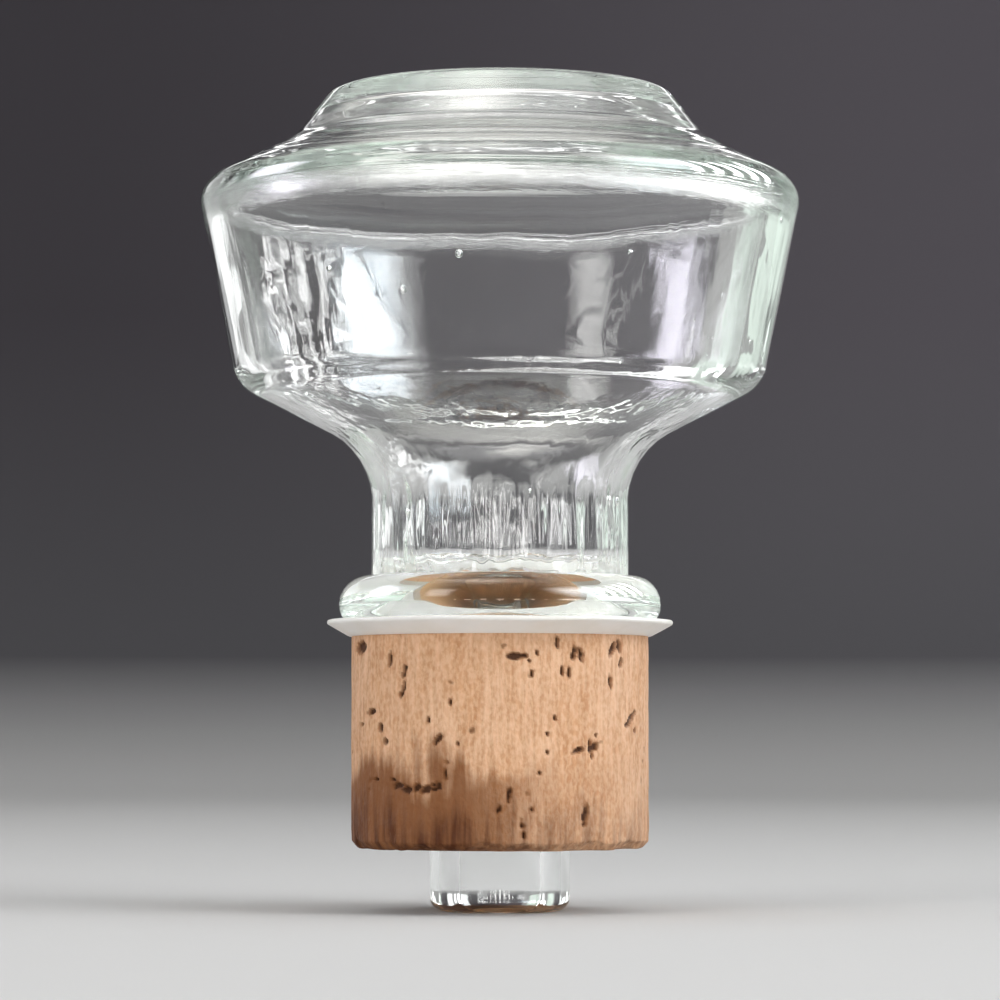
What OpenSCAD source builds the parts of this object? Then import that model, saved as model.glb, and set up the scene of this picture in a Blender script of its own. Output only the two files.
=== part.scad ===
// Hollow glass decanter stopper with a plastic washer and a cork sleeve.
// The origin is on the axis, on the top face of the cork, and +Z points up to the head.
// Every glass height below is one stretch of the stopper, stacked upwards from the washer.

/* [Head] */
// Widest diameter of the head, at the shoulder corner
head_d = 68; // [60:0.5:76]
// Diameter of the head at its lower rim, where the underside begins
rim_d = 59; // [50:0.5:66]
// Height of the tapered side wall
side_h = 22.2; // [16:0.1:30]
// Height of the sloping shoulder above the side wall
shoulder_h = 5.2; // [4:0.1:8]
// Diameter at the foot of the raised crown
crown_d = 47; // [42:0.5:52]
// Height of the raised crown
crown_h = 5.6; // [4:0.1:8]
// Diameter of the flat land on top of the crown
land_d = 38; // [30:0.5:40]
// Height of the cone under the head
under_h = 7.7; // [5:0.1:12]

/* [Neck and bead] */
// Diameter of the neck
neck_d = 28.8; // [25:0.1:32]
// Height of the neck between the bead and the cone
neck_h = 13.6; // [10:0.1:20]
// Diameter of the bead that sits on the washer
bead_d = 36; // [34:0.1:38]
// Height of the bead
bead_h = 5.6; // [4:0.1:8]

/* [Corner radii] */
// Rounding of the edge of the land
land_round = 1.4; // [0.5:0.1:3]
// Hollow fillet at the foot of the crown
crown_fillet = 2.8; // [1:0.1:5]
// Rounding of the shoulder corner
shoulder_round = 3; // [1:0.1:5]
// Rounding of the lower rim
rim_round = 3.9; // [1:0.1:6]
// Hollow fillet where the cone runs into the neck
neck_fillet = 8; // [3:0.1:10]
// Rounding of the bead's upper edge
bead_round = 3.2; // [1:0.1:4]
// Rounding of the bead's lower edge, next to the washer
bead_heel = 2.3; // [0.8:0.1:3]
// Rounding of the peg's end
peg_round = 1.6; // [0.5:0.1:2.5]

/* [Glass thickness] */
// Thickness of the glass in the land, crown and shoulder
top_wall = 3.2; // [2.2:0.1:5]
// Thickness of the glass in the side wall
head_wall = 2.8; // [1.8:0.1:5]
// Thickness of the glass in the cone under the head
cone_wall = 1.9; // [1.5:0.1:4]
// Thickness of the glass in the neck
neck_wall = 2.4; // [1.6:0.1:4]
// Rounding of the corners inside the blown head
blown_round = 2.4; // [1:0.1:6]
// Rounding of the hollow where the neck runs down into the bore
throat_round = 5; // [2:0.5:8]

/* [Peg] */
// Diameter of the glass peg that carries the cork
peg_d = 15.6; // [13:0.1:18]
// Length of peg that stands out below the cork
peg_out = 7; // [3:0.1:12]
// Diameter of the bore that opens at the peg's end
bore_d = 9; // [6:0.1:10]
// Height of the funnel from the bore up to the neck
throat_h = 5.4; // [3:0.1:8]

/* [Washer and cork] */
// Diameter of the washer
washer_d = 38.8; // [37.5:0.1:42]
// Thickness of the washer
washer_t = 1.2; // [0.8:0.1:2]
// How far the washer's free edge is cupped upwards
washer_cup = 1; // [0:0.1:1.2]
// Diameter of the cork
cork_d = 33.2; // [28:0.1:35]
// Length of the cork
cork_h = 23.5; // [16:0.5:32]
// Bevel of the cork's lower edge
cork_bevel = 0.8; // [0.3:0.1:2]
// Gap all round between the peg and the holes that it passes through
fit_gap = 0.05; // [0.02:0.01:0.15]

/* [Hidden] */
$fn = 96;

// Steps in each rounded corner
corner_steps = 8;

// Heights of the corners, from the washer up
bead_z = washer_t + bead_h;
neck_z = bead_z + neck_h;
rim_z = neck_z + under_h;
shoulder_z = rim_z + side_h;
crown_z = shoulder_z + shoulder_h;
land_z = crown_z + crown_h;

// Heights below the washer
cork_z = -cork_h;
peg_z = cork_z - peg_out;

bore_r = bore_d / 2;
peg_r = peg_d / 2;
hole_r = peg_r + fit_gap;
cork_r = cork_d / 2;
bead_r = bead_d / 2;
washer_r = washer_d / 2;

// The washer stays flat as far as both the cork and the bead's seat reach
flat_r = max(cork_r, bead_r - bead_heel / 2);
// Rounding of the washer's and the cork's small edges
soft_edge = 0.35;

// Sharp outline of the glass from the top centre down to the bead, as [radius, height]
head_outline = [
    [0, land_z],
    [land_d / 2, land_z],
    [crown_d / 2, crown_z],
    [head_d / 2, shoulder_z],
    [rim_d / 2, rim_z],
    [neck_d / 2, neck_z],
    [neck_d / 2, bead_z]
];

// Glass thickness along each stretch of that outline
head_walls = [top_wall, top_wall, top_wall, head_wall, cone_wall, neck_wall];

function unit(v) = v / norm(v);

// Normal of the stretch from a to b, turned into the glass
function inward(a, b) = unit([b[1] - a[1], a[0] - b[0]]);

function cross2(a, b) = a[0] * b[1] - a[1] * b[0];

// Where the line through p along u meets the line through q along v
function meet(p, u, q, v) = p + u * cross2(q - p, v) / cross2(u, v);

// Corner i of an outline, moved inwards by the wall thickness on both of its sides
function inner_corner(line, walls, i) =
    let (
        a = line[i - 1],
        b = line[i],
        c = line[i + 1]
    )
    meet(b + inward(a, b) * walls[i - 1], b - a, b + inward(b, c) * walls[i], c - b);

// Half of the angle between the two sides that meet at corner i
function half_angle(line, i) =
    let (
        u = unit(line[i - 1] - line[i]),
        v = unit(line[i + 1] - line[i])
    )
    acos(max(-1, min(1, u * v))) / 2;

// How far the rounding of corner i reaches along its sides
function reach(line, radii, i) = radii[i] == 0 ? 0 : radii[i] / tan(half_angle(line, i));

// Share of the wanted rounding that the side from corner i to the next has room for
function room(line, radii, i) =
    let (wanted = reach(line, radii, i) + reach(line, radii, i + 1))
    wanted == 0 ? 1 : min(1, 0.98 * norm(line[i + 1] - line[i]) / wanted);

// Arc that rounds corner i, no larger than its two sides have room for
function rounded_corner(line, radii, i) =
    let (
        b = line[i],
        u = unit(line[i - 1] - b),
        v = unit(line[i + 1] - b),
        half = half_angle(line, i),
        radius = radii[i] * min(room(line, radii, i - 1), room(line, radii, i)),
        centre = b + unit(u + v) * radius / sin(half),
        from = b + u * radius / tan(half) - centre,
        to = b + v * radius / tan(half) - centre,
        start = atan2(from[1], from[0]),
        turn = (atan2(to[1], to[0]) - start + 540) % 360 - 180
    )
    [for (k = [0 : corner_steps])
        let (angle = start + turn * k / corner_steps)
        centre + radius * [cos(angle), sin(angle)]];

// Outline with every corner rounded by its own radius, 0 for a sharp one
function rounded(line, radii) = [
    for (i = [0 : len(line) - 1])
        each (radii[i] == 0 ? [line[i]] : rounded_corner(line, radii, i))
];

// One blown piece: hollow head and neck, solid bead, and a peg with an open bore
module glass_stopper() {
    neck_in_r = neck_d / 2 - neck_wall;
    outline = [
        each head_outline,
        [bead_r, bead_z],
        [bead_r, washer_t],
        [peg_r, washer_t],
        [peg_r, peg_z],
        [bore_r, peg_z],
        [bore_r, bead_z - throat_h],
        [neck_in_r, bead_z],
        for (i = [5 : -1 : 1]) inner_corner(head_outline, head_walls, i),
        [0, land_z - top_wall]
    ];
    radii = [
        0, land_round, crown_fillet, shoulder_round, rim_round, neck_fillet, 0,
        bead_round,
        bead_heel,
        0,
        peg_round,
        peg_round,
        throat_round,
        throat_round,
        neck_fillet + neck_wall, blown_round, blown_round, crown_fillet + top_wall, blown_round,
        0
    ];
    color("lightcyan", 0.45)
        rotate_extrude()
            polygon(rounded(outline, radii));
}

// Thin plastic disc, flat under the bead and cupped upwards at its free edge
module washer() {
    outline = [
        [hole_r, 0],
        [flat_r, 0],
        [washer_r, washer_cup],
        [washer_r, washer_cup + washer_t],
        [flat_r, washer_t],
        [hole_r, washer_t]
    ];
    color("ivory")
        rotate_extrude()
            polygon(rounded(outline, [0, soft_edge, soft_edge, soft_edge, soft_edge, 0]));
}

// Cork sleeve, bored for the peg, that grips the bottle's neck
module cork() {
    outline = [
        [hole_r, cork_z],
        [cork_r - cork_bevel, cork_z],
        [cork_r, cork_z + cork_bevel],
        [cork_r, 0],
        [hole_r, 0]
    ];
    color("burlywood")
        rotate_extrude()
            polygon(rounded(outline, [0, soft_edge, soft_edge, 0, 0]));
}

glass_stopper();
washer();
cork();
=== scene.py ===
# Looks of a hollow glass decanter stopper: wavy blown glass, a thin plastic washer and a cork sleeve.
import math
import random

import bmesh
import bpy
import numpy as np
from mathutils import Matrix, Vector, noise


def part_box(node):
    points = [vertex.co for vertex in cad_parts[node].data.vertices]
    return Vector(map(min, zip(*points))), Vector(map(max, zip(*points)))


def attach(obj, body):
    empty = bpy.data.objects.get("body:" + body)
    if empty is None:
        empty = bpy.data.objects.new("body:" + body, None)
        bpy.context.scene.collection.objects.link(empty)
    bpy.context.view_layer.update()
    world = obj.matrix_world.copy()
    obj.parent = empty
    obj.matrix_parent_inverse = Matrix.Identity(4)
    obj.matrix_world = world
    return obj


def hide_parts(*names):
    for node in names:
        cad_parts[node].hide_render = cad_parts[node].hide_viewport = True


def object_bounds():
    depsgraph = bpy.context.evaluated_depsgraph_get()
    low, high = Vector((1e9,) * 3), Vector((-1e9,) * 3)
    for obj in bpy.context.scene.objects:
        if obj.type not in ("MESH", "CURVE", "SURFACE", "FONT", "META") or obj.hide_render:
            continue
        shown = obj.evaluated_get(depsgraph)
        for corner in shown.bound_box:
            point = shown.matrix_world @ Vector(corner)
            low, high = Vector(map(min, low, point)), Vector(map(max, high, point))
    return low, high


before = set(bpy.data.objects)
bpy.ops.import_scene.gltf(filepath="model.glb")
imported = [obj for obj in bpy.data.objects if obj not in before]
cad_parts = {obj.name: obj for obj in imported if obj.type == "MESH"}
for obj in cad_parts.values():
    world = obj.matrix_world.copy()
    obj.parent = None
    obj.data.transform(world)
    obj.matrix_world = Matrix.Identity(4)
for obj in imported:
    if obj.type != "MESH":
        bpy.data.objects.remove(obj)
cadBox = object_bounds()
mm = 0.001
mergeDistance = 0.002 * mm
scene = bpy.context.scene
scene.view_settings.view_transform = "Standard"
# light runs round inside blown glass many times before it leaves; cut short, the shoulder turns black
lightPaths = {"max_bounces": 24, "glossy_bounces": 24, "transmission_bounces": 24, "use_light_tree": False}
for name, value in lightPaths.items():
    setattr(scene.cycles, name, value)
glassLow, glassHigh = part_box("glass_stopper")
washerLow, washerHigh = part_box("washer")
corkLow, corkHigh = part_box("cork")
print("frame loaded")


# turning: half a section is drawn point by point, its corners are rounded, then it is spun
def startPoint(name, place):
    bpy.ops.object.select_all(action="DESELECT")
    bpy.ops.mesh.primitive_plane_add(size=mm, location=(0, 0, 0))
    piece = bpy.context.object
    piece.name = name
    piece.data.name = name
    bpy.ops.object.mode_set(mode="EDIT")
    bpy.ops.mesh.select_all(action="SELECT")
    bpy.ops.mesh.merge(type="CENTER")
    bpy.ops.transform.translate(value=place)
    return piece


def selectWhere(piece, vertTest=None, edgeTest=None):
    bpy.ops.mesh.select_all(action="DESELECT")
    bm = bmesh.from_edit_mesh(piece.data)
    count = 0
    for v in bm.verts if vertTest else []:
        if vertTest(v):
            v.select = True
            count += 1
    for e in bm.edges if edgeTest else []:
        if edgeTest(e):
            e.select = True
            count += 1
    bm.select_flush(True)
    bmesh.update_edit_mesh(piece.data)
    return count


def splitLongEdges(piece, longest, where):
    def tooLong(e):
        return e.calc_length() > longest and where((e.verts[0].co + e.verts[1].co) / 2)
    while selectWhere(piece, edgeTest=tooLong):
        bpy.ops.mesh.subdivide(number_cuts=1)


def turnPiece(name, outline, roundings, sizes, steps, cornerSteps=6, closed=False):
    # outline holds (radius, height) corners, roundings one radius for each, 0 for a sharp corner;
    # sizes holds pairs of longest edge and the part of the section that it holds for
    corners = [Vector((r, 0, z)) for r, z in outline]
    piece = startPoint(name, corners[0])
    for a, b in zip(corners, corners[1:]):
        bpy.ops.mesh.extrude_vertices_move(TRANSFORM_OT_translate={"value": b - a})
    if closed:
        selectWhere(piece, vertTest=lambda v: len(v.link_edges) == 1)
        bpy.ops.mesh.edge_face_add()
    for i, radius in enumerate(roundings):
        if radius > 0:
            toLast = (corners[i - 1] - corners[i]).normalized()
            toNext = (corners[(i + 1) % len(corners)] - corners[i]).normalized()
            selectWhere(piece, vertTest=lambda v: (v.co - corners[i]).length < mergeDistance / 2)
            bpy.ops.mesh.bevel(affect="VERTICES", offset_type="OFFSET", segments=cornerSteps, profile=0.5,
                               offset=radius / math.tan(toLast.angle(toNext) / 2), clamp_overlap=True)
    for longest, where in sizes:
        splitLongEdges(piece, longest, where)
    bpy.ops.mesh.select_all(action="SELECT")
    bpy.ops.mesh.spin(steps=steps, angle=2 * math.pi, center=(0, 0, 0), axis=(0, 0, 1))
    bpy.ops.mesh.select_all(action="SELECT")
    bpy.ops.mesh.remove_doubles(threshold=mergeDistance)
    bpy.ops.mesh.normals_make_consistent(inside=False)
    bpy.ops.object.mode_set(mode="OBJECT")
    return piece


def everywhere(place):
    return True


def readPoints(piece):
    points = np.empty(len(piece.data.vertices) * 3)
    piece.data.vertices.foreach_get("co", points)
    return points.reshape(-1, 3)


def writePoints(piece, points):
    piece.data.vertices.foreach_set("co", points.ravel())
    piece.data.update()


def smoothShade(piece, angle):
    bpy.ops.object.select_all(action="DESELECT")
    piece.select_set(True)
    bpy.context.view_layer.objects.active = piece
    bpy.ops.object.shade_smooth_by_angle(angle=math.radians(angle))


def smoothStep(low, high, value):
    t = np.clip((value - low) / (high - low), 0, 1)
    return t * t * (3 - 2 * t)


# material tools: short ways to add and join nodes
def put(tree, kind, inputs=None, **settings):
    # adds a node; an input takes a number, a colour or another node's output
    node = tree.nodes.new("ShaderNode" + kind)
    for key, value in settings.items():
        setattr(node, key, value)
    for key, value in (inputs or {}).items():
        if isinstance(value, bpy.types.NodeSocket):
            tree.links.new(value, node.inputs[key])
        else:
            node.inputs[key].default_value = value
    return node


def calc(tree, operation, *values):
    return put(tree, "Math", dict(enumerate(values)), operation=operation).outputs[0]


def ease(tree, value, low, high, toLow=0.0, toHigh=1.0):
    # smooth change from toLow to toHigh while value goes from low to high
    node = put(tree, "MapRange", {"Value": value, "From Min": low, "From Max": high, "To Min": toLow,
                                  "To Max": toHigh}, interpolation_type="SMOOTHSTEP")
    return node.outputs["Result"]


def mixColour(tree, share, first, second, blend="MIX"):
    # sockets 6 and 7 of a colour mix are its two colours, output 2 its result
    return put(tree, "Mix", {0: share, 6: first, 7: second}, data_type="RGBA", blend_type=blend).outputs[2]


def newMaterial(name):
    material = bpy.data.materials.new(name)
    material.use_nodes = True
    tree = material.node_tree
    return material, tree, tree.nodes["Principled BSDF"]


def makeMottleGroup():
    # soft cloudy variation between two values, used by all three finishes
    group = bpy.data.node_groups.new("mottle", "ShaderNodeTree")
    group.interface.new_socket("Vector", in_out="INPUT", socket_type="NodeSocketVector")
    for name, value in (("Scale", 100.0), ("Detail", 2.0), ("Low", 0.0), ("High", 1.0)):
        group.interface.new_socket(name, in_out="INPUT", socket_type="NodeSocketFloat").default_value = value
    group.interface.new_socket("Value", in_out="OUTPUT", socket_type="NodeSocketFloat")
    start = group.nodes.new("NodeGroupInput")
    end = group.nodes.new("NodeGroupOutput")
    cloud = put(group, "TexNoise", {"Vector": start.outputs["Vector"], "Scale": start.outputs["Scale"],
                                    "Detail": start.outputs["Detail"]})
    spread = put(group, "MapRange", {"Value": cloud.outputs["Fac"], "From Min": 0.3, "From Max": 0.7,
                                     "To Min": start.outputs["Low"], "To Max": start.outputs["High"]},
                 interpolation_type="SMOOTHSTEP")
    group.links.new(spread.outputs["Result"], end.inputs["Value"])
    return group


mottleGroup = makeMottleGroup()


def mottle(tree, vector, scale, detail=2.0, low=0.0, high=1.0):
    node = tree.nodes.new("ShaderNodeGroup")
    node.node_tree = mottleGroup
    tree.links.new(vector, node.inputs["Vector"])
    for name, value in (("Scale", scale), ("Detail", detail), ("Low", low), ("High", high)):
        node.inputs[name].default_value = value
    return node.outputs["Value"]


def placeOf(tree, stretch=(1, 1, 1), shift=(0, 0, 0)):
    place = put(tree, "TexCoord").outputs["Object"]
    return put(tree, "Mapping", {"Vector": place, "Scale": stretch, "Location": shift}).outputs["Vector"]


# sizes in metres, bearings in degrees round the stopper, 0 straight behind it
stage = {
    "floorRadius": 0.9, "sweepRadius": 0.5, "wallHeight": 1.5,
    "turnSteps": 96, "sweepSteps": 16, "longestEdge": 0.2, "roughness": 0.95, "specular": 0.1,
    "paperColour": (0.58, 0.58, 0.58, 1), "hazeColour": (0.1, 0.098, 0.107, 1), "hazeHeight": 0.05,
    "darkColour": (0.068, 0.0625, 0.072, 1), "darkHeight": 0.2,
    "darkLeft": -21, "darkRight": 11.5, "darkFade": 2.5, "boardTop": 1.0, "boardFade": 0.4,
    "liftAcross": 9, "lift": 0.9,
}


def paperMaterial(s, floorZ):
    material, tree, shader = newMaterial("cove_paper")
    shader.inputs["Roughness"].default_value = s["roughness"]
    shader.inputs["Specular IOR Level"].default_value = s["specular"]
    split = put(tree, "SeparateXYZ", {0: placeOf(tree)})
    height = put(tree, "MapRange", {"Value": split.outputs["Z"], "From Min": floorZ,
                                    "From Max": floorZ + s["darkHeight"]})
    ramp = put(tree, "ValToRGB", {0: height.outputs["Result"]})
    ramp.color_ramp.elements[0].color = s["paperColour"]
    ramp.color_ramp.elements[1].color = s["darkColour"]
    ramp.color_ramp.elements.new(s["hazeHeight"] / s["darkHeight"]).color = s["hazeColour"]
    # a dark board stands behind the stopper, lighter towards its right; the rest of the sweep stays pale
    bearing = calc(tree, "ARCTAN2", split.outputs["X"], split.outputs["Y"])
    across = math.radians(s["liftAcross"])
    lift = ease(tree, bearing, -across, across, 0.0, s["lift"])
    lift = calc(tree, "MULTIPLY_ADD", lift, height.outputs["Result"], 1.0)
    board = put(tree, "VectorMath", {0: ramp.outputs["Color"], "Scale": lift}, operation="SCALE")
    left, right, fade = (math.radians(s[name]) for name in ("darkLeft", "darkRight", "darkFade"))
    paleLeft = ease(tree, bearing, left, left - fade)
    paleRight = ease(tree, bearing, right, right + fade)
    paleAbove = ease(tree, split.outputs["Z"], s["boardTop"], s["boardTop"] + s["boardFade"])
    pale = calc(tree, "MAXIMUM", calc(tree, "MAXIMUM", paleLeft, paleRight), paleAbove)
    colour = mixColour(tree, pale, board.outputs["Vector"], s["paperColour"])
    tree.links.new(colour, shader.inputs["Base Color"])
    return material


def makeStage(s):
    floorZ = glassLow.z
    wallRadius = s["floorRadius"] + s["sweepRadius"]
    outline = [(0, floorZ), (wallRadius, floorZ), (wallRadius, floorZ + s["wallHeight"])]
    cove = turnPiece("cove", outline, [0, s["sweepRadius"], 0], [(s["longestEdge"], everywhere)],
                     s["turnSteps"], s["sweepSteps"])
    bpy.ops.object.mode_set(mode="EDIT")
    bpy.ops.mesh.select_all(action="SELECT")
    bpy.ops.mesh.normals_make_consistent(inside=True)
    bpy.ops.object.mode_set(mode="OBJECT")
    cove.data.materials.append(paperMaterial(s, floorZ))
    smoothShade(cove, 60)


# azimuth turns from the camera's side towards the right, glow is the panel's own brightness, soft is the
# share of the panel over which it fades out at its edges; a row of panes is a window, and what is
# glintOnly shows in gloss and glass alone
lamps = {
    "key_right": {"azimuth": 62, "rise": 36, "distance": 0.9, "width": 0.8, "tall": 0.5, "glow": 8,
                  "colour": (0.98, 0.99, 1.0), "soft": 0.7},
    "fill_left": {"azimuth": -47, "rise": 30, "distance": 0.9, "width": 0.36, "tall": 0.5, "glow": 6,
                  "colour": (1.0, 0.99, 0.97), "soft": 0.6},
    "overhead": {"azimuth": 0, "rise": 85, "distance": 1.0, "width": 1.4, "tall": 0.9, "glow": 1.4,
                 "colour": (1.0, 1.0, 1.0), "soft": 0.4},
    "skylight": {"azimuth": -60, "rise": 82, "distance": 1.1, "width": 0.9, "tall": 0.7, "glow": 5,
                 "colour": (1.0, 0.98, 0.92), "soft": 1.0, "glintOnly": True},
    "sky_back": {"azimuth": 190, "rise": 50, "distance": 1.1, "width": 1.6, "tall": 0.6, "glow": 0.9,
                 "colour": (1.0, 0.99, 0.92), "soft": 0.9, "glintOnly": True},
    "slit_back": {"azimuth": 180, "rise": 22.5, "distance": 1.2, "width": 1.0, "tall": 0.09, "glow": 2.4,
                  "colour": (1.0, 1.0, 1.0), "soft": 0.6, "glintOnly": True},
    "window_right": {"azimuth": 66, "rise": 28, "distance": 0.85, "width": 0.62, "tall": 0.5, "glow": 9,
                     "colour": (0.8, 0.92, 1.0), "soft": 0.7, "glintOnly": True},
    "blinds_right": {"azimuth": 104, "rise": 28, "distance": 0.85, "width": 0.8, "tall": 0.5, "glow": 64,
                     "colour": (1.0, 1.0, 1.0), "panes": 5, "mullion": 0.4, "soft": 0.9, "glintOnly": True},
    "window_left": {"azimuth": -100, "rise": 28, "distance": 0.85, "width": 0.42, "tall": 0.5, "glow": 12,
                    "colour": (0.92, 0.88, 1.0), "soft": 0.6, "glintOnly": True},
    "strip_left": {"azimuth": -145, "rise": 10, "distance": 1.1, "width": 0.5, "tall": 0.6, "glow": 0.9,
                   "colour": (0.98, 1.0, 1.0), "soft": 0.3, "glintOnly": True},
    "strip_right": {"azimuth": 148, "rise": 10, "distance": 1.1, "width": 0.6, "tall": 0.6, "glow": 0.6,
                    "colour": (0.8, 1.0, 0.86), "soft": 0.3, "glintOnly": True},
    "side_left": {"azimuth": -112, "rise": 10, "distance": 1.1, "width": 0.7, "tall": 0.5, "glow": 1.6,
                  "colour": (0.97, 0.99, 1.0), "panes": 3, "mullion": 0.2, "soft": 0.5, "glintOnly": True},
    "side_right": {"azimuth": 112, "rise": 10, "distance": 1.1, "width": 0.5, "tall": 0.5, "glow": 1.3,
                   "colour": (0.97, 0.99, 1.0), "panes": 2, "mullion": 0.3, "soft": 0.5, "glintOnly": True},
    "card_front": {"azimuth": 0, "rise": 6, "distance": 1.1, "width": 1.6, "tall": 0.26, "glow": 8.5,
                   "colour": (1.0, 0.99, 0.97), "panes": 7, "mullion": 0.5, "soft": 0.5},
    "card_right": {"azimuth": 52, "rise": 7, "distance": 1.1, "width": 0.5, "tall": 0.26, "glow": 16,
                   "colour": (1.0, 1.0, 1.0), "soft": 0.8, "glintOnly": True},
}
roomGlow = {"colour": (0.9, 0.89, 0.88, 1), "strength": 0.55}


def softenLamp(lamp, soft):
    # full in the middle, fading out towards the panel's edges
    lamp.use_nodes = True
    tree = lamp.node_tree
    onPanel = put(tree, "SeparateXYZ", {0: put(tree, "NewGeometry").outputs["Parametric"]})
    fades = []
    for side in "XY":
        fromMiddle = calc(tree, "ABSOLUTE", calc(tree, "SUBTRACT", onPanel.outputs[side], 0.5))
        toEdge = calc(tree, "SUBTRACT", 0.5, fromMiddle)
        fades.append(ease(tree, toEdge, 0.0, soft / 2))
    tree.links.new(calc(tree, "MULTIPLY", *fades), tree.nodes["Emission"].inputs["Strength"])


def addLamp(name, l, aim):
    turn, rise = math.radians(l["azimuth"]), math.radians(l["rise"])
    away = Vector((math.sin(turn) * math.cos(rise), -math.cos(turn) * math.cos(rise), math.sin(rise)))
    sideways = Vector((math.cos(turn), math.sin(turn), 0))
    panes = l.get("panes", 1)
    paneWidth = l["width"] / panes
    for k in range(panes):
        lamp = bpy.data.lights.new(name, "AREA")
        lamp.shape = "RECTANGLE"
        lamp.size, lamp.size_y = paneWidth * (1 - l.get("mullion", 0)), l["tall"]
        lamp.energy = math.pi * l["glow"] * lamp.size * lamp.size_y
        lamp.color = l["colour"]
        if "soft" in l:
            softenLamp(lamp, l["soft"])
        holder = bpy.data.objects.new(name, lamp)
        scene.collection.objects.link(holder)
        holder.location = aim + away * l["distance"] + sideways * (k - (panes - 1) / 2) * paneWidth
        holder.rotation_euler = away.to_track_quat("Z", "Y").to_euler()
        holder.visible_camera = False
        holder.visible_diffuse = not l.get("glintOnly", False)


def makeRoom(r):
    world = bpy.data.worlds.new("room")
    scene.world = world
    world.use_nodes = True
    background = world.node_tree.nodes["Background"]
    background.inputs["Color"].default_value = r["colour"]
    background.inputs["Strength"].default_value = r["strength"]


view = {"distance": 0.46, "height": -0.0112, "fill": 0.82, "sensor": 36, "nearest": 0.01, "farthest": 10}


def makeCamera(v):
    middle = Vector((0, 0, (cadBox[0].z + cadBox[1].z) / 2))
    cameraData = bpy.data.cameras.new("camera")
    camera = bpy.data.objects.new("camera", cameraData)
    scene.collection.objects.link(camera)
    camera.location = (0, -v["distance"], v["height"])
    camera.rotation_euler = (middle - camera.location).to_track_quat("-Z", "Y").to_euler()
    half = math.atan((cadBox[1].z - cadBox[0].z) / 2 / v["distance"] / v["fill"])
    cameraData.sensor_width = v["sensor"]
    cameraData.lens = v["sensor"] / 2 / math.tan(half)
    cameraData.clip_start = v["nearest"]
    cameraData.clip_end = v["farthest"]
    scene.camera = camera


makeCamera(view)
makeRoom(roomGlow)
makeStage(stage)
lampAim = Vector((0, 0, 0.02))
for name, values in lamps.items():
    addLamp(name, values, lampAim)
print("stage, lamps and camera made")


# sizes in mm; heights are above the cork's top face
glass = {
    "landWidth": 38, "crownWidth": 47, "headWidth": 68, "rimWidth": 59, "neckWidth": 28.8,
    "crownHeight": 5.6, "shoulderHeight": 5.2, "sideHeight": 22.2, "coneHeight": 7.7, "neckHeight": 13.6,
    "beadWidth": 36, "beadHeight": 5.6, "pegWidth": 15.6, "boreWidth": 9, "throatHeight": 5.4,
    "topWall": 3.2, "headWall": 2.8, "coneWall": 1.4, "neckWall": 2.4,
    "landRound": 1.4, "crownFillet": 2.8, "shoulderRound": 3.0, "rimRound": 3.9, "neckFillet": 8.0,
    "beadRound": 3.2, "beadHeel": 2.3, "pegRound": 1.6, "blownRound": 2.4, "rimBlownRound": 2.2,
    "throatRound": 5.0, "turnSteps": 216, "longestEdge": 1.2, "glueOverlap": 0.03,
    # the waves start above the seat; the outside's are calmer on the crown
    "seatClear": 0.4, "seatEase": 4, "outerWave": 0.1, "outerScale": 90, "crownCalm": 0.6,
    "crownFrom": (46, 50),
    "innerWave": 0.18, "innerScale": 70, "dimpleDepth": 0.012, "dimpleScale": 170,
    # upright streaks inside, broad in the neck and finer and shallower in the head
    "streakDepth": 0.19, "neckStreaks": 4, "coneStreaks": 9, "coneFrom": (17, 21), "headCalm": 0.75,
    "headFrom": (18, 26), "streakFall": 20,
    # the hollow of the head lies a little off centre, so one wall is thinner
    "drift": (-0.5, 0.15), "driftFrom": (20, 30),
    # share of the unevenness at each height inside
    "wavesAt": [(6, 0.2), (9, 1.7), (15, 1.7), (19, 0.2), (28, 0.12), (31, 0.8), (37, 0.9), (43, 0.08),
                (60, 0.06)],
    # fine relief of the surface, and its share at each height; from the shoulder up it runs in rings
    "reliefDepth": 0.12, "reliefScale": 620, "ringsFrom": (46, 49),
    "reliefAt": [(6.4, 0.0), (8.4, 1.0), (14, 1.0), (17, 0.1), (29, 0.04), (42, 0.05), (46, 0.03),
                 (51, 0.3)],
    "ior": 1.51, "tint": (0.36, 0.78, 0.48, 1), "tintDensity": 3.8, "filmScale": 45, "film": (-0.04, 0.02),
    # bubbles in the wall: azimuth from the front, height, depth under the outside, radius
    "knownSeeds": [(-8, 39.5, 1.3, 0.42), (-47, 13.5, 1.0, 0.3)], "seeds": 12, "seedSize": (0.1, 0.36),
    "seedStretch": (1.0, 1.8), "seedDepth": (0.3, 0.6), "rimAt": 28.1, "sideSlope": 0.203,
    # stretches of wall that hold the others: radius and height at each end, thickness, share of the bubbles
    "seedWalls": [((29.5, 28.1), (34, 50.3), "headWall", 0.62), ((14.4, 8.5), (14.4, 18), "neckWall", 0.24),
                  ((24.5, 54.6), (31, 51.4), "topWall", 0.14)],
}


def insideCorner(a, b, c, wallBefore, wallAfter):
    # where the two sides of a corner meet once each has moved into the glass by its wall
    u = (b - a).normalized()
    v = (c - b).normalized()
    p = b + Vector((u.y, -u.x)) * wallBefore
    q = b + Vector((v.y, -v.x)) * wallAfter
    return p + u * (q - p).cross(v) / u.cross(v)


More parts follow.
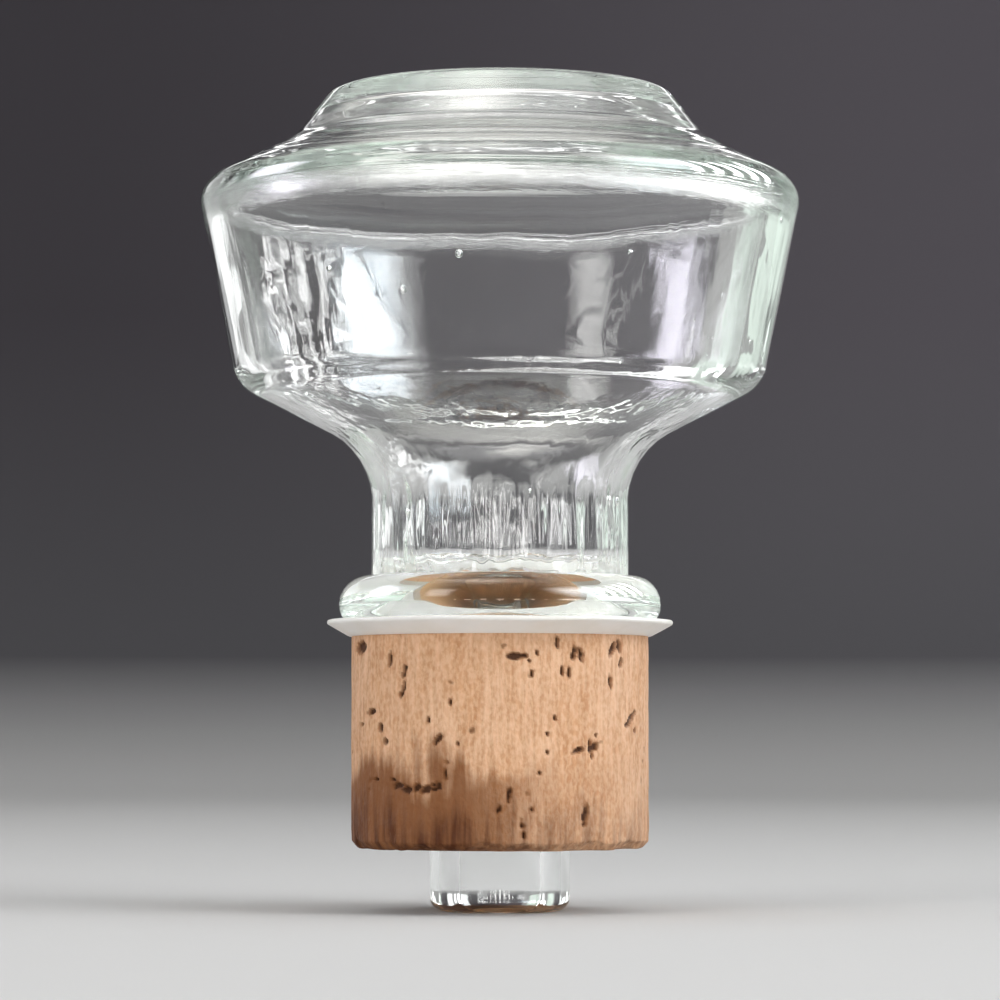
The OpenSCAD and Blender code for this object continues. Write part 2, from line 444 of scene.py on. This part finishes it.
def glassOutline(g):
    top = glassHigh.z / mm
    crownZ = top - g["crownHeight"]
    shoulderZ = crownZ - g["shoulderHeight"]
    rimZ = shoulderZ - g["sideHeight"]
    neckZ = rimZ - g["coneHeight"]
    beadZ = neckZ - g["neckHeight"]
    seatZ = beadZ - g["beadHeight"] - g["glueOverlap"]
    pegZ = glassLow.z / mm
    outside = [Vector(p) for p in (
        (0, top), (g["landWidth"] / 2, top), (g["crownWidth"] / 2, crownZ),
        (g["headWidth"] / 2, shoulderZ), (g["rimWidth"] / 2, rimZ),
        (g["neckWidth"] / 2, neckZ), (g["neckWidth"] / 2, beadZ))]
    walls = [g["topWall"]] * 3 + [g["headWall"], g["coneWall"], g["neckWall"]]
    inside = [insideCorner(*outside[i - 1:i + 2], walls[i - 1], walls[i]) for i in range(5, 0, -1)]
    neckInside = g["neckWidth"] / 2 - g["neckWall"]
    stem = [Vector(p) for p in (
        (g["beadWidth"] / 2, beadZ), (g["beadWidth"] / 2, seatZ), (g["pegWidth"] / 2, seatZ),
        (g["pegWidth"] / 2, pegZ), (g["boreWidth"] / 2, pegZ),
        (g["boreWidth"] / 2, beadZ - g["throatHeight"]), (neckInside, beadZ))]
    line = outside + stem + inside + [Vector((0, top - g["topWall"]))]
    blown, throat = g["blownRound"], g["throatRound"]
    radii = [0, g["landRound"], g["crownFillet"], g["shoulderRound"], g["rimRound"], g["neckFillet"], 0,
             g["beadRound"], g["beadHeel"], 0, g["pegRound"], g["pegRound"], throat, throat,
             g["neckFillet"] + g["neckWall"], g["rimBlownRound"], blown,
             g["crownFillet"] + g["topWall"], blown, 0]
    return [tuple(p * mm) for p in line], [r * mm for r in radii], seatZ * mm


def between(heights, z):
    # 0 below the lower height, 1 above the upper one
    return smoothStep(heights[0] * mm, heights[1] * mm, z)


def onInside(co, normal, away):
    # walls that face the axis, and the hollow's ceiling
    return normal.dot(away) < -0.02 or (normal.z < -0.7 and co.z > 45 * mm)


def waveGlass(piece, g, seatZ):
    # the mould's and the blow's unevenness: broad waves outside, deeper ones and upright streaks inside
    points = readPoints(piece)
    stillZ = seatZ + g["seatClear"] * mm
    heights, shares = zip(*g["wavesAt"])
    for v in piece.data.vertices:
        co, n = v.co, v.normal
        if co.z < stillZ:
            continue
        radius = math.hypot(co.x, co.y)
        away = Vector((co.x, co.y, 0)) / max(radius, 1e-6)
        rise = min(1, (co.z - stillZ) / (g["seatEase"] * mm))
        if onInside(co, n, away):
            fine = g["neckStreaks"] + (g["coneStreaks"] - g["neckStreaks"]) * between(g["coneFrom"], co.z)
            streakPlace = Vector((away.x * fine, away.y * fine, co.z * g["streakFall"]))
            calm = 1 - g["headCalm"] * between(g["headFrom"], co.z)
            nearAxis = min(1, radius / (g["boreWidth"] * mm))
            push = g["innerWave"] * noise.fractal(co * g["innerScale"], 1, 2, 2)
            push += g["streakDepth"] * calm * noise.fractal(streakPlace, 0.8, 2.3, 3) * nearAxis
            push *= np.interp(co.z / mm, heights, shares)
            push += g["dimpleDepth"] * noise.noise(co * g["dimpleScale"])
            points[v.index, :2] += np.array(g["drift"]) * mm * between(g["driftFrom"], co.z)
        else:
            share = 1 - g["crownCalm"] * between(g["crownFrom"], co.z)
            wave = noise.noise(co * g["outerScale"] + Vector((3, 8, 1)))
            push = -g["outerWave"] * share * (0.5 + 0.5 * wave)
        points[v.index] += np.array(n * push * rise * mm)
    writePoints(piece, points)


def seedList(g):
    # known ones first, then others spread over the side wall, the neck and the shoulder
    rng = random.Random(5)
    found = []
    for azimuth, z, depth, size in g["knownSeeds"]:
        inNeck = z < g["rimAt"]
        r = g["neckWidth"] / 2 if inNeck else g["rimWidth"] / 2 + (z - g["rimAt"]) * g["sideSlope"]
        found.append((r - depth, z, math.radians(azimuth - 90), size, 1.1))
    for k in range(g["seeds"]):
        (r0, z0), (r1, z1), wall, share = rng.choices(g["seedWalls"], [w[3] for w in g["seedWalls"]])[0]
        t = rng.uniform(0.15, 0.85)
        depth = rng.uniform(*g["seedDepth"]) * g[wall]
        found.append((r0 + (r1 - r0) * t - depth, z0 + (z1 - z0) * t, rng.uniform(0, 2 * math.pi),
                      rng.uniform(*g["seedSize"]), rng.uniform(*g["seedStretch"])))
    return found


def addSeeds(piece, g):
    # small gas bubbles left in the walls: closed skins that face into their own hollow
    seeds = []
    for r, z, turn, size, stretch in seedList(g):
        centre = Vector((r * math.cos(turn), r * math.sin(turn), z)) * mm
        bpy.ops.object.select_all(action="DESELECT")
        bpy.ops.mesh.primitive_ico_sphere_add(subdivisions=3, radius=size * mm, location=centre)
        seed = bpy.context.object
        bpy.ops.object.mode_set(mode="EDIT")
        bpy.ops.mesh.select_all(action="SELECT")
        bpy.ops.transform.resize(value=(1, 1, stretch))
        bpy.ops.mesh.flip_normals()
        bpy.ops.object.mode_set(mode="OBJECT")
        seeds.append(seed)
    bpy.ops.object.select_all(action="DESELECT")
    for seed in seeds:
        seed.select_set(True)
    piece.select_set(True)
    bpy.context.view_layer.objects.active = piece
    bpy.ops.object.join()


def glassMaterial(g):
    material, tree, shader = newMaterial("clear_soda_glass")
    shader.inputs["Base Color"].default_value = (1, 1, 1, 1)
    shader.inputs["Metallic"].default_value = 0
    shader.inputs["IOR"].default_value = g["ior"]
    shader.inputs["Transmission Weight"].default_value = 1
    split = put(tree, "SeparateXYZ", {0: placeOf(tree)})
    height = split.outputs["Z"]
    # upright streaks drawn out by the blow; above the side wall they turn into rings round the axis
    flat = put(tree, "CombineXYZ", {"X": split.outputs["X"], "Y": split.outputs["Y"]})
    radius = put(tree, "VectorMath", {0: flat.outputs["Vector"]}, operation="LENGTH").outputs["Value"]
    ringPlace = put(tree, "CombineXYZ", {"X": radius, "Z": height}).outputs["Vector"]
    # sockets 4 and 5 of a vector mix are its two vectors, output 1 its result
    ringShare = ease(tree, height, g["ringsFrom"][0] * mm, g["ringsFrom"][1] * mm)
    place = put(tree, "Mix", {0: ringShare, 4: placeOf(tree, (1, 1, 0.1)), 5: ringPlace},
                data_type="VECTOR").outputs[1]
    amount = put(tree, "ValToRGB", {0: calc(tree, "DIVIDE", height, glassHigh.z)})
    steps = amount.color_ramp.elements
    for k, (z, share) in enumerate(g["reliefAt"]):
        step = steps[k] if k < 2 else steps.new(1.0)
        step.position = z * mm / glassHigh.z
        step.color = (share, share, share, 1)
    relief = calc(tree, "MULTIPLY", mottle(tree, place, g["reliefScale"], 1.0), amount.outputs["Color"])
    bump = put(tree, "Bump", {"Strength": 1.0, "Distance": g["reliefDepth"] * mm, "Height": relief})
    tree.links.new(bump.outputs["Normal"], shader.inputs["Normal"])
    # a faint film of handling, in patches
    tree.links.new(mottle(tree, placeOf(tree), g["filmScale"], 0.0, *g["film"]), shader.inputs["Roughness"])
    tint = put(tree, "VolumeAbsorption", {"Color": g["tint"], "Density": g["tintDensity"]})
    tree.links.new(tint.outputs["Volume"], tree.nodes["Material Output"].inputs["Volume"])
    return material


glassLine, glassRadii, seatZ = glassOutline(glass)
glassPiece = turnPiece("blown_glass", glassLine, glassRadii, [(glass["longestEdge"] * mm, everywhere)],
                       glass["turnSteps"])
waveGlass(glassPiece, glass, seatZ)
addSeeds(glassPiece, glass)
smoothShade(glassPiece, 40)
glassPiece.data.materials.clear()
glassPiece.data.materials.append(glassMaterial(glass))
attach(glassPiece, "root")
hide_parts("glass_stopper")
print("glass made:", len(glassPiece.data.polygons), "faces")


# sizes in mm
washer = {
    "cup": 1.0, "thick": 1.2, "lip": 0.55, "softEdge": 0.25, "edgeClear": 0.1, "turnSteps": 180,
    "longestEdge": 0.7, "edgeWave": 0.12, "waveScale": 90, "ior": 1.5,
    "freshColour": (0.94, 0.93, 0.90, 1), "agedColour": (0.88, 0.86, 0.80, 1), "agedScale": 140,
    "grainScale": 700, "grainDepth": 0.03, "glossScale": 420, "roughness": (0.3, 0.5),
}
pegFit = (glass["pegWidth"] / 2 - glass["glueOverlap"]) * mm


def makeWasher(w):
    rimR = washerHigh.x - w["edgeClear"] * mm
    flatR = max(corkHigh.x, (glass["beadWidth"] / 2 - glass["beadHeel"] / 2) * mm)
    low, thick, cup = washerLow.z, w["thick"] * mm, w["cup"] * mm
    lipZ = low + cup + (thick - w["lip"] * mm) * 0.6
    outline = [(pegFit, low), (flatR, low), (rimR, lipZ), (rimR, lipZ + w["lip"] * mm), (flatR, low + thick),
               (pegFit, low + thick)]
    soft = w["softEdge"] * mm
    piece = turnPiece("plastic_washer", outline, [0, 4 * soft, soft, soft, 4 * soft, 0],
                      [(w["longestEdge"] * mm, everywhere)], w["turnSteps"], 4, closed=True)
    points = readPoints(piece)
    free = smoothStep(flatR - 0.4 * mm, rimR, np.hypot(points[:, 0], points[:, 1]))
    for i in np.nonzero(free)[0]:
        turn = Vector((points[i, 0], points[i, 1], 0)) * w["waveScale"]
        points[i, 2] += w["edgeWave"] * mm * free[i] * noise.noise(turn)
    writePoints(piece, points)
    return piece


def plasticMaterial(w):
    material, tree, shader = newMaterial("white_polyethylene")
    shader.inputs["IOR"].default_value = w["ior"]
    aged = mottle(tree, placeOf(tree), w["agedScale"], 3.0)
    colour = mixColour(tree, aged, w["freshColour"], w["agedColour"])
    tree.links.new(colour, shader.inputs["Base Color"])
    gloss = mottle(tree, placeOf(tree, (1, 1, 3)), w["glossScale"], 3.0, *w["roughness"])
    tree.links.new(gloss, shader.inputs["Roughness"])
    bump = put(tree, "Bump", {"Strength": 1.0, "Distance": w["grainDepth"] * mm,
                              "Height": mottle(tree, placeOf(tree), w["grainScale"], 2.0)})
    tree.links.new(bump.outputs["Normal"], shader.inputs["Normal"])
    return material


washerPiece = makeWasher(washer)
smoothShade(washerPiece, 40)
washerPiece.data.materials.append(plasticMaterial(washer))
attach(washerPiece, "root")
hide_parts("washer")
print("washer made:", len(washerPiece.data.polygons), "faces")


# sizes in mm, angles in degrees
cork = {
    "bevel": 0.8, "softEdge": 0.35, "turnSteps": 360, "fineEdge": 0.3, "coarseEdge": 3.0,
    "poreRuns": 26, "poreLength": (0.3, 1.5), "poreWidth": (0.08, 0.34), "poreDepth": (0.1, 0.45),
    # pores in a run: how many, how far apart, how they lean, for runs up the cork and runs across it
    "runLength": (1, 7), "acrossShare": 0.2, "uprightStep": (0.9, 2.4), "uprightLean": (5, 14),
    "acrossStep": (9, 3), "acrossLean": (85, 12), "poreRim": 0.12, "poreRough": 0.5, "poreFill": 1.35,
    # the dried outside and the crumbled lower edge
    "dryDepth": 0.05, "dryScale": 900, "chip": 0.45, "chipScale": 260, "chipMore": 0.12, "chipHeight": 2.2,
    "paleColour": (0.82, 0.50, 0.31, 1), "bandColour": (0.70, 0.37, 0.19, 1),
    "fibreColour": (0.47, 0.195, 0.07, 1), "fibreShare": 0.6, "fibreScale": 1700,
    "speckColour": (0.95, 0.68, 0.46, 1), "speckShare": 0.4, "speckScale": 2600,
    "stainColour": (0.22, 0.08, 0.024, 1), "burntColour": (0.085, 0.024, 0.007, 1),
    "stainFrom": (-9.5, -13.5), "burntFrom": (-13.5, -20),
    "poreEdgeColour": (0.25, 0.10, 0.035, 1), "poreColour": (0.06, 0.022, 0.009, 1),
    # the bore's colour is painted light: paler than the cork, standing in for the light the glass gathers
    "borePaintedLightColour": (1.0, 0.67, 0.39, 1), "specular": 0.2, "roughness": (0.65, 0.92), "grainDepth": 0.1,
    # azimuth from the front, height below the washer, length, width, lean from upright
    "knownPores": [
        (6, -2.5, 1.9, 0.5, 88), (29, -2.1, 1.3, 0.35, 8), (32, -2.3, 1.1, 0.4, -14),
        (48, -1.6, 1.5, 0.5, 35), (52, -1.3, 1.1, 0.4, -10), (22, -1.0, 0.9, 0.25, 4),
        (24, -4.0, 0.9, 0.22, 0), (27, -4.1, 1.0, 0.2, 6), (-68, -1.3, 2.4, 1.1, 86),
        (60, -9.2, 2.2, 0.45, 52), (38, -12.3, 1.6, 0.4, 66), (31, -12.6, 1.3, 0.3, 70),
        (-52, -10.1, 0.8, 0.6, 0), (-49, -11.5, 0.7, 0.5, 0), (-24, -11.4, 1.2, 0.4, 40),
        (-43, -16.5, 1.1, 0.45, 60), (-38, -16.9, 1.3, 0.55, 82), (-33, -16.6, 1.0, 0.5, 50),
        (-29, -16.8, 1.2, 0.5, 75), (-24, -16.4, 0.9, 0.4, 35), (34, -19.6, 1.9, 0.4, 8)],
}


def poreList(c):
    # pores follow each other up the cork in short runs, a few large ones among small ones
    rng = random.Random(11)
    found = list(c["knownPores"])
    shortest, longest = c["poreLength"]
    narrowest, widest = c["poreWidth"]
    for k in range(c["poreRuns"]):
        azimuth, z = rng.uniform(-180, 180), rng.uniform(corkLow.z / mm + 1, -1)
        across = rng.random() < c["acrossShare"]
        for j in range(rng.randint(*c["runLength"])):
            size = rng.random() ** 2.5
            length = shortest + size * (longest - shortest)
            width = narrowest + size * rng.uniform(0.4, 1) * (widest - narrowest)
            lean = rng.gauss(*c["acrossLean"]) if across else rng.gauss(*c["uprightLean"])
            found.append((azimuth + rng.gauss(0, 4), z, length, width, lean))
            azimuth += rng.gauss(*c["acrossStep"]) if across else rng.gauss(0, 2)
            z += rng.gauss(0, 0.4) if across else rng.uniform(*c["uprightStep"])
    return [pore for pore in found if corkLow.z / mm + 0.2 < pore[1] < -0.2]


def poreMask(points, c):
    # how deep each point lies in a pore, 0 to 1
    radius = corkHigh.x / mm
    turn = np.degrees(np.arctan2(points[:, 0], -points[:, 1]))
    height = points[:, 2] / mm
    mask = np.zeros(len(points))
    for azimuth, z, length, width, lean in poreList(c):
        around = np.radians((turn - azimuth + 180) % 360 - 180) * radius
        up = height - z
        near = np.nonzero((abs(around) < length + 1) & (abs(up) < length + 1))[0]
        cosLean, sinLean = math.cos(math.radians(lean)), math.sin(math.radians(lean))
        for i in near:
            along = up[i] * cosLean + around[i] * sinLean
            across = around[i] * cosLean - up[i] * sinLean
            rough = c["poreRough"] * noise.noise(Vector((around[i] + azimuth, up[i], z)) * 2.3)
            farAlong = along / (length / 2 + c["poreRim"])
            farAcross = across / (width / 2 + c["poreRim"])
            reach = math.hypot(farAlong, farAcross) + rough
            strength = 0.8 + 0.9 * min(1, length / 1.4)
            mask[i] = max(mask[i], min(1, max(0, c["poreFill"] - reach) * strength))
    return mask


def makeCork(c):
    low, high, r = corkLow.z, corkHigh.z, corkHigh.x
    bevel, soft = c["bevel"] * mm, c["softEdge"] * mm
    outline = [(pegFit, low), (r - bevel, low), (r, low + bevel), (r, high), (pegFit, high)]

    def inSight(place):
        return place.x > r - 0.2 * mm - bevel or (place.z < low + bevel and place.x > pegFit + 0.1 * mm)
    piece = turnPiece("cork_sleeve", outline, [0, soft, soft, 0, 0],
                      [(c["coarseEdge"] * mm, everywhere), (c["fineEdge"] * mm, inSight)], c["turnSteps"], 3,
                      closed=True)
    points = readPoints(piece)
    radius = np.hypot(points[:, 0], points[:, 1])
    side = smoothStep(r - 0.5 * mm - bevel, r - bevel, radius)
    mask = np.where(side > 0, poreMask(points, c), 0) * side
    depth = c["poreDepth"][0] + (c["poreDepth"][1] - c["poreDepth"][0]) * mask
    edge = smoothStep(c["chipHeight"] * mm, 0.2 * mm, points[:, 2] - low)
    edge *= smoothStep(r - 3 * mm, r - 0.6 * mm, radius)
    for i in range(len(points)):
        if side[i] > 0 or edge[i] > 0:
            away = points[i, :2] / radius[i]
            at = Vector(points[i])
            upright = Vector((at.x, at.y, at.z * 0.25))
            dry = c["dryDepth"] * (1 + noise.fractal(upright * c["dryScale"], 0.8, 2, 3))
            crumble = noise.fractal(at * c["chipScale"] + Vector((2, 0, 5)), 0.8, 2, 3)
            chip = max(0, crumble + c["chipMore"]) * edge[i] * c["chip"]
            points[i, :2] -= away * (mask[i] * depth[i] + max(0, dry) * side[i] + chip * 0.8) * mm
            points[i, 2] += chip * mm
    writePoints(piece, points)
    pore = piece.data.attributes.new("pore", "FLOAT", "POINT")
    pore.data.foreach_set("value", mask)
    return piece


def corkMaterial(c):
    material, tree, shader = newMaterial("natural_cork")
    split = put(tree, "SeparateXYZ", {0: placeOf(tree)})
    # upright fibres, growth bands and cell-sized specks
    fibres = mottle(tree, placeOf(tree, (1, 1, 0.13)), c["fibreScale"], 3.0)
    bands = mottle(tree, placeOf(tree, (1, 0.4, 0.25)), 260, 4.0)
    specks = mottle(tree, placeOf(tree, (1, 1, 0.6)), c["speckScale"], 2.0)
    colour = mixColour(tree, bands, c["paleColour"], c["bandColour"])
    colour = mixColour(tree, calc(tree, "MULTIPLY", fibres, c["fibreShare"]), colour, c["fibreColour"])
    colour = mixColour(tree, calc(tree, "MULTIPLY", specks, c["speckShare"]), colour, c["speckColour"])
    # soaked and browned towards the lower end, most on the left
    ragged = calc(tree, "MULTIPLY_ADD", mottle(tree, placeOf(tree, (1, 1, 0.1)), 650, 4.0), 2.6 * mm,
                  split.outputs["Z"])
    ragged = calc(tree, "MULTIPLY_ADD", mottle(tree, placeOf(tree), 110, 1.0), 3.5 * mm, ragged)
    leftPart = ease(tree, split.outputs["X"], 9 * mm, -5 * mm, 0.12, 1.0)
    stainTop, stainFull = (z * mm for z in c["stainFrom"])
    soaked = calc(tree, "MULTIPLY", ease(tree, ragged, stainTop, stainFull, 0.0, 0.92), leftPart)
    colour = mixColour(tree, soaked, colour, c["stainColour"])
    drips = mottle(tree, placeOf(tree, (1, 1, 0.09)), 900, 3.0, 0.0, 1.0)
    burntTop, burntFull = (z * mm for z in c["burntFrom"])
    burnt = calc(tree, "MULTIPLY", ease(tree, ragged, burntTop, burntFull), drips)
    burnt = calc(tree, "MULTIPLY", burnt, ease(tree, split.outputs["X"], 14 * mm, -6 * mm, 0.45, 1.0))
    colour = mixColour(tree, burnt, colour, c["burntColour"])
    pore = put(tree, "Attribute", attribute_name="pore").outputs["Fac"]
    colour = mixColour(tree, ease(tree, pore, 0.0, 0.45, 0.0, 0.7), colour, c["poreEdgeColour"])
    colour = mixColour(tree, ease(tree, pore, 0.4, 1.0, 0.0, 0.9), colour, c["poreColour"])
    # pale inside, where the glass is glued: the bore's cork colour is painted brighter, as painted light
    # standing in for the light the glass gathers into the bore
    flat = put(tree, "CombineXYZ", {"X": split.outputs["X"], "Y": split.outputs["Y"]}).outputs["Vector"]
    fromAxis = put(tree, "VectorMath", {0: flat}, operation="LENGTH").outputs["Value"]
    colour = mixColour(tree, ease(tree, fromAxis, 8.4 * mm, 7.9 * mm), colour, c["borePaintedLightColour"])
    tree.links.new(colour, shader.inputs["Base Color"])
    shader.inputs["Specular IOR Level"].default_value = c["specular"]
    tree.links.new(mottle(tree, placeOf(tree), 900, 2.0, *c["roughness"]), shader.inputs["Roughness"])
    height = calc(tree, "ADD", calc(tree, "MULTIPLY", fibres, -0.6), calc(tree, "MULTIPLY", specks, 0.4))
    bump = put(tree, "Bump", {"Strength": 1.0, "Distance": c["grainDepth"] * mm, "Height": height})
    tree.links.new(bump.outputs["Normal"], shader.inputs["Normal"])
    return material


corkPiece = makeCork(cork)
smoothShade(corkPiece, 40)
corkPiece.data.materials.append(corkMaterial(cork))
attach(corkPiece, "root")
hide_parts("cork")
print("cork made:", len(corkPiece.data.polygons), "faces")
